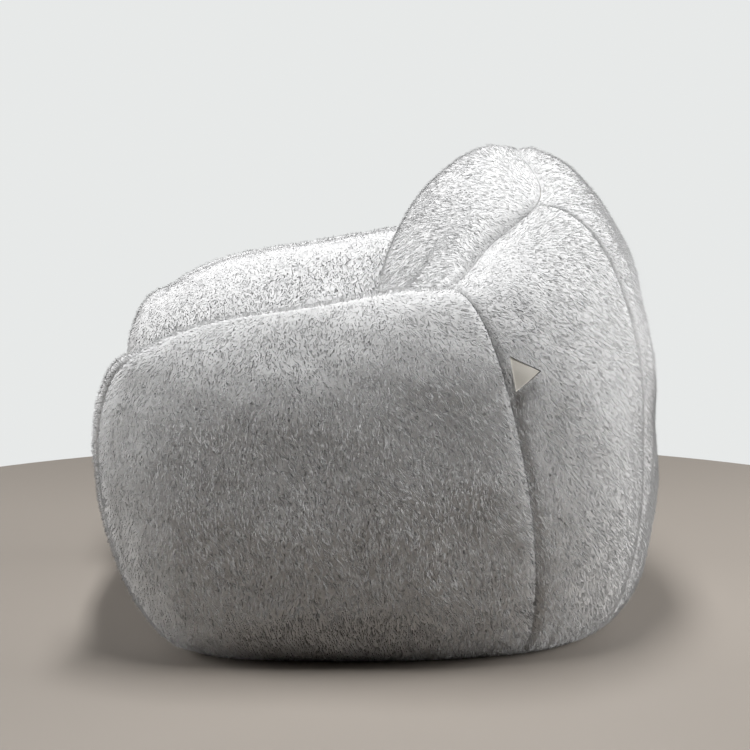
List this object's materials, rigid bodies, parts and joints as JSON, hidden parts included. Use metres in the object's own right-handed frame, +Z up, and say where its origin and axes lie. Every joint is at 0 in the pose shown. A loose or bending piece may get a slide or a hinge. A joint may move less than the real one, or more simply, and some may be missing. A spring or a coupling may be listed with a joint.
{
  "type": "bean bag chair",
  "caption": "Bean bag armchair in silver-grey faux-fur plush with plump arms, a tall rounded back, a padded seat and a zipped base.",
  "frame": {"origin": "centre of the bounding box in plan, on the floor plane under the base", "axes": "+Z up, the chair faces -Y, +X is the sitter's left"},
  "size_m": [1.0422, 1.0262, 0.8739],
  "materials": {
    "plush": "silver-grey faux-fur pile, matte",
    "base_cloth": "charcoal woven polyester, matte",
    "zip_tape": "woven zip tape, matte",
    "zip_coil": "nylon coil, satin",
    "zip_metal": "nickel-coloured plated metal, satin",
    "label_cloth": "ivory woven label with a black bound edge, matte",
    "bag_cloth": "plain calico, matte",
    "bag_zip_tape": "woven zip tape, matte",
    "beads": "expanded polystyrene beads, matte"
  },
  "bodies": {
    "chair": {"outer_arm_panel_left": "plush", "outer_arm_panel_right": "plush", "inner_arm_panel_left": "plush", "inner_arm_panel_right": "plush", "back_side_panel_left": "plush", "back_side_panel_right": "plush", "back_centre_panel": "plush", "backrest_front_panel": "plush", "seat_panel": "plush", "seat_front_panel": "plush", "base_panel_front": "base_cloth", "base_panel_rear": "base_cloth", "cover_zip_tape_front": "zip_tape", "cover_zip_tape_rear": "zip_tape", "cover_zip_coil": "zip_coil", "cover_zip_end_stop_left": "zip_metal", "cover_zip_end_stop_right": "zip_metal", "side_label": "label_cloth", "inner_bag": "bag_cloth", "inner_bag_zip_tape": "bag_zip_tape", "inner_bag_zip_coil": "zip_coil", "bean_fill": "beads"},
    "cover_slider": {"cover_zip_slider": "zip_metal"},
    "cover_pull": {"cover_zip_pull": "zip_metal"},
    "bag_slider": {"inner_bag_zip_slider": "zip_metal"}
  },
  "joints": [
    {"name": "cover_zip_slide", "type": "slide", "parent": "chair", "child": "cover_slider", "axis": [1, 0, 0], "range_m": [0, 0.54]},
    {"name": "cover_pull_flip", "type": "hinge", "parent": "cover_slider", "child": "cover_pull", "pos_m": [-0.2925, 0.02, 0.002], "axis": [0, 1, 0], "range_deg": [0, 175]},
    {"name": "bag_zip_slide", "type": "slide", "parent": "chair", "child": "bag_slider", "axis": [1, 0, 0], "range_m": [0, 0.38]}
  ]
}
